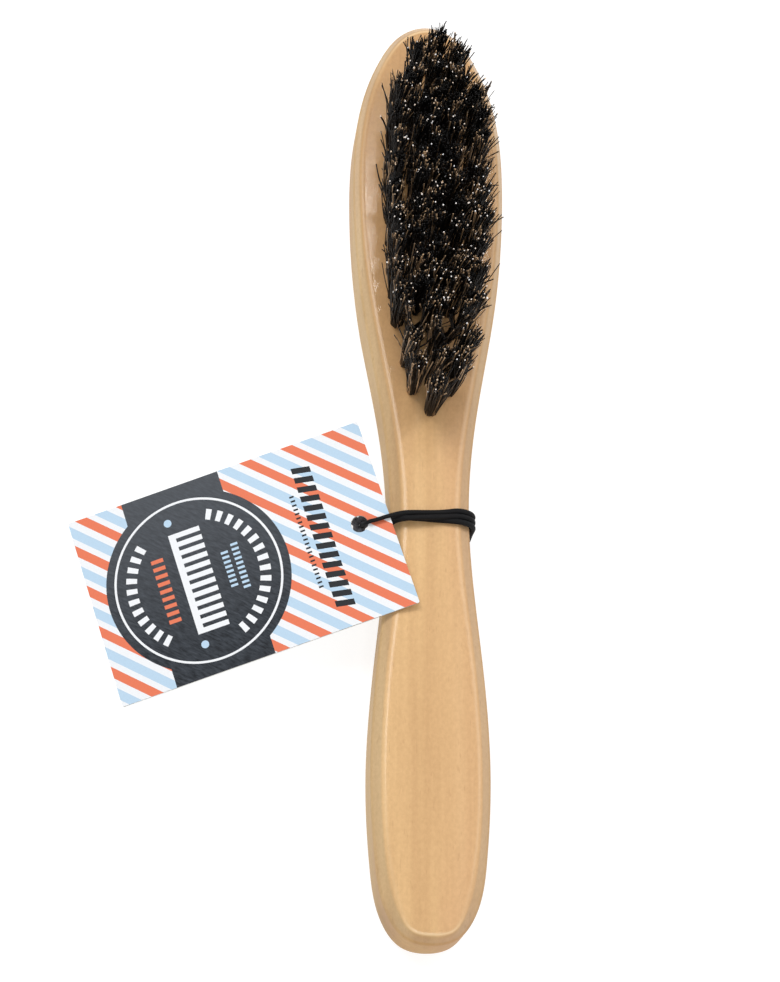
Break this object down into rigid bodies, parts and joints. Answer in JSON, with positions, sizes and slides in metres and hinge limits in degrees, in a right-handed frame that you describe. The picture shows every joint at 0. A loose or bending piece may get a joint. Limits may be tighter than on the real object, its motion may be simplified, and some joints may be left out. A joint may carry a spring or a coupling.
{
  "type": "beard brush",
  "caption": "Paddle beard brush: waisted wooden handle, leaf-shaped field of bristle tufts on the head, and a card hang tag on an elastic wound round the waist.",
  "frame": {"origin": "under the middle of the brush's length, on the plane that the brush lies on", "axes": "+Y from the handle to the bristle head along the length, +Z the way the bristles point, +X across the brush to its right as seen from above"},
  "size_m": [0.0838, 0.19, 0.0275],
  "materials": {
    "beech": "satin lacquered pale beech",
    "bristle": "dense dark natural bristle",
    "anchor_wire": "plain flat wire",
    "elastic": "braided black elastic",
    "card": "printed card, matt"
  },
  "bodies": {
    "brush": {"wood_body": "beech", "tuft_row_01": "bristle", "tuft_row_02": "bristle", "tuft_row_03": "bristle", "tuft_row_04": "bristle", "tuft_row_05": "bristle", "tuft_row_06": "bristle", "tuft_row_07": "bristle", "tuft_row_08": "bristle", "tuft_row_09": "bristle", "tuft_row_10": "bristle", "tuft_row_11": "bristle", "tuft_row_12": "bristle", "tuft_row_13": "bristle", "tuft_row_14": "bristle", "anchor_row_01": "anchor_wire", "anchor_row_02": "anchor_wire", "anchor_row_03": "anchor_wire", "anchor_row_04": "anchor_wire", "anchor_row_05": "anchor_wire", "anchor_row_06": "anchor_wire", "anchor_row_07": "anchor_wire", "anchor_row_08": "anchor_wire", "anchor_row_09": "anchor_wire", "anchor_row_10": "anchor_wire", "anchor_row_11": "anchor_wire", "anchor_row_12": "anchor_wire", "anchor_row_13": "anchor_wire", "anchor_row_14": "anchor_wire", "elastic_wraps": "elastic"},
    "loop": {"elastic_bight": "elastic", "elastic_knot": "elastic"},
    "tag": {"hang_tag": "card"}
  },
  "joints": [
    {"name": "tag_flip", "type": "hinge", "parent": "brush", "child": "loop", "pos_m": [-0.00775, -0.01545, 0.015], "axis": [-0.3173, 0.9483, 0], "range_deg": [0, 110]},
    {"name": "tag_swivel", "type": "hinge", "parent": "loop", "child": "tag", "pos_m": [-0.01358, -0.01665, 0.01255], "axis": [-0.2198, -0.0735, 0.9728], "range_deg": [-20, 5]}
  ]
}
